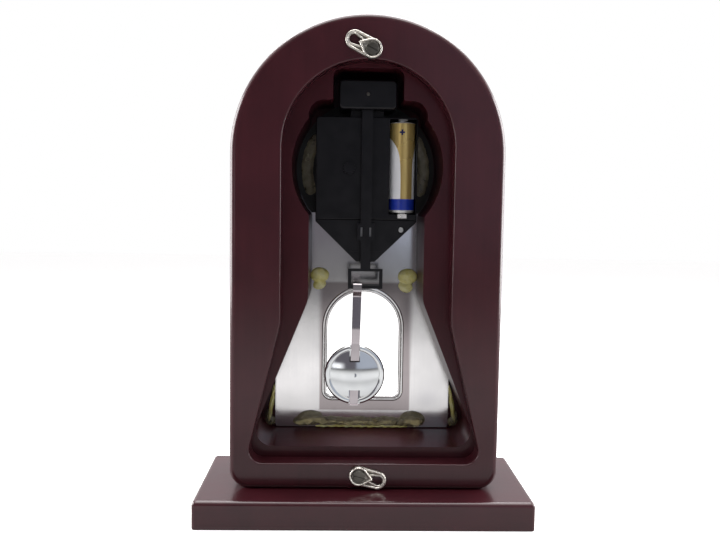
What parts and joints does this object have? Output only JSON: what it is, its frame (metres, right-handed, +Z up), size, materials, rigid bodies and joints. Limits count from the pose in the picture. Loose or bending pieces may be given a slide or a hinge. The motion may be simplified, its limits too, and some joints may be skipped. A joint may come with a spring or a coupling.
{
  "type": "pendulum desk clock",
  "caption": "Arched wooden desk clock on a base board, open at the back to show its quartz movement, swinging pendulum arm and bob, and sheet metal front panel.",
  "frame": {"origin": "centre of the underside of the base board, which is the centre of the whole object's box in X and Y", "axes": "+Z up; -Y the way the dial faces; +Y out of the open back; +X to the right as the dial is read"},
  "size_m": [0.175, 0.076, 0.262],
  "materials": {
    "lacquered_wood": "dark mahogany stain under satin-gloss lacquer",
    "panel_metal": "bright rolled sheet, nearly a mirror, with fine vertical grain",
    "black_plastic": "moulded, glossy",
    "hot_melt_glue": "translucent amber, glossy",
    "zinc_steel": "zinc plated",
    "brass": "polished",
    "glass": "clear, flat",
    "dial_white": "satin off-white",
    "fibre_board": "dark pressed fibre board",
    "rubber": "matt",
    "contact_steel": "nickel plated spring sheet",
    "board": "solder mask",
    "white_plastic": "moulded acetal",
    "core_steel": "stamped sheet",
    "copper": "enamelled winding",
    "magnet": "nickel plated magnet",
    "hand_black": "satin black",
    "bob_metal": "pressed and bright plated",
    "battery_wrap": "printed metallic wrap",
    "cast_nickel": "cast and nickel plated, softly pitted"
  },
  "bodies": {
    "case": {"base_board": "lacquered_wood", "case_body": "lacquered_wood", "base_screws": "zinc_steel", "front_panel": "panel_metal", "panel_glue": "hot_melt_glue", "dial_board": "fibre_board", "dial_glue": "hot_melt_glue", "dial_plate": "dial_white", "dial_bezel": "brass", "dial_glass": "glass", "rubber_washer": "rubber", "threaded_bush": "brass", "bush_nut": "brass", "movement_front_shell": "black_plastic", "movement_rear_cover": "black_plastic", "drive_cover": "black_plastic", "drive_cover_screw": "zinc_steel", "hanger_block": "black_plastic", "arm_pivot_pin": "zinc_steel", "positive_contact": "contact_steel", "negative_contact": "contact_steel", "circuit_board": "board", "quartz_crystal": "contact_steel", "train_bridge": "white_plastic", "motor_stator": "core_steel", "motor_coil": "copper", "drive_coil": "copper", "upper_turn_screw": "zinc_steel", "lower_turn_screw": "zinc_steel"},
    "swing_arm": {"pendulum_arm": "black_plastic", "drive_magnet": "magnet"},
    "pendulum": {"pendulum_rod": "bob_metal", "bob_front_shell": "bob_metal", "bob_back_shell": "bob_metal"},
    "cell": {"battery": "battery_wrap"},
    "upper_button": {"upper_turn_button": "cast_nickel"},
    "lower_button": {"lower_turn_button": "cast_nickel"},
    "second_train": {"second_wheel": "white_plastic", "second_hand": "hand_black"},
    "third_train": {"third_wheel": "white_plastic"},
    "minute_train": {"centre_wheel": "white_plastic", "minute_hand": "hand_black"},
    "setting_train": {"motion_wheel": "white_plastic", "set_knob": "black_plastic"},
    "hour_train": {"hour_wheel": "white_plastic", "hour_hand": "hand_black"},
    "intermediate_train": {"intermediate_wheel": "white_plastic"},
    "rotor_train": {"rotor": "magnet"}
  },
  "joints": [
    {"name": "pendulum_swing", "type": "hinge", "parent": "case", "child": "swing_arm", "pos_m": [0, -0.0038, 0.224], "axis": [0, 1, 0], "range_deg": [-4, 4]},
    {"name": "rod_rock", "type": "hinge", "parent": "swing_arm", "child": "pendulum", "pos_m": [0, -0.0038, 0.1208], "axis": [1, 0, 0], "range_deg": [-6, 6]},
    {"name": "battery_out", "type": "slide", "parent": "case", "child": "cell", "axis": [0, 1, 0], "range_m": [0, 0.03]},
    {"name": "upper_button_turn", "type": "hinge", "parent": "case", "child": "upper_button", "pos_m": [-0.0011, 0, 0.2438], "axis": [0, 1, 0], "continuous": true},
    {"name": "lower_button_turn", "type": "hinge", "parent": "case", "child": "lower_button", "pos_m": [0.0026, 0, 0.0227], "axis": [0, 1, 0], "range_deg": [0, 208]},
    {"name": "second_turn", "type": "hinge", "parent": "case", "child": "second_train", "pos_m": [0, 0, 0.185], "axis": [0, 1, 0], "continuous": true},
    {"name": "third_turn", "type": "hinge", "parent": "case", "child": "third_train", "pos_m": [0.00308, 0, 0.19346], "axis": [0, 1, 0], "continuous": true},
    {"name": "minute_turn", "type": "hinge", "parent": "case", "child": "minute_train", "pos_m": [0, 0, 0.185], "axis": [0, 1, 0], "continuous": true},
    {"name": "setting_turn", "type": "hinge", "parent": "case", "child": "setting_train", "pos_m": [0.0096, 0, 0.185], "axis": [0, 1, 0], "continuous": true},
    {"name": "hour_turn", "type": "hinge", "parent": "case", "child": "hour_train", "pos_m": [0, 0, 0.185], "axis": [0, 1, 0], "continuous": true},
    {"name": "intermediate_turn", "type": "hinge", "parent": "case", "child": "intermediate_train", "pos_m": [0.00455, 0, 0.17712], "axis": [0, 1, 0], "continuous": true},
    {"name": "rotor_turn", "type": "hinge", "parent": "case", "child": "rotor_train", "pos_m": [0.0066, 0, 0.17148], "axis": [0, 1, 0], "continuous": true}
  ],
  "couplings": [
    {"joint": "third_turn", "follows": "second_turn", "ratio": -0.13333},
    {"joint": "minute_turn", "follows": "second_turn", "ratio": 0.016667},
    {"joint": "setting_turn", "follows": "second_turn", "ratio": -0.0055556},
    {"joint": "hour_turn", "follows": "second_turn", "ratio": 0.0013889},
    {"joint": "intermediate_turn", "follows": "second_turn", "ratio": -6},
    {"joint": "rotor_turn", "follows": "second_turn", "ratio": 30}
  ]
}
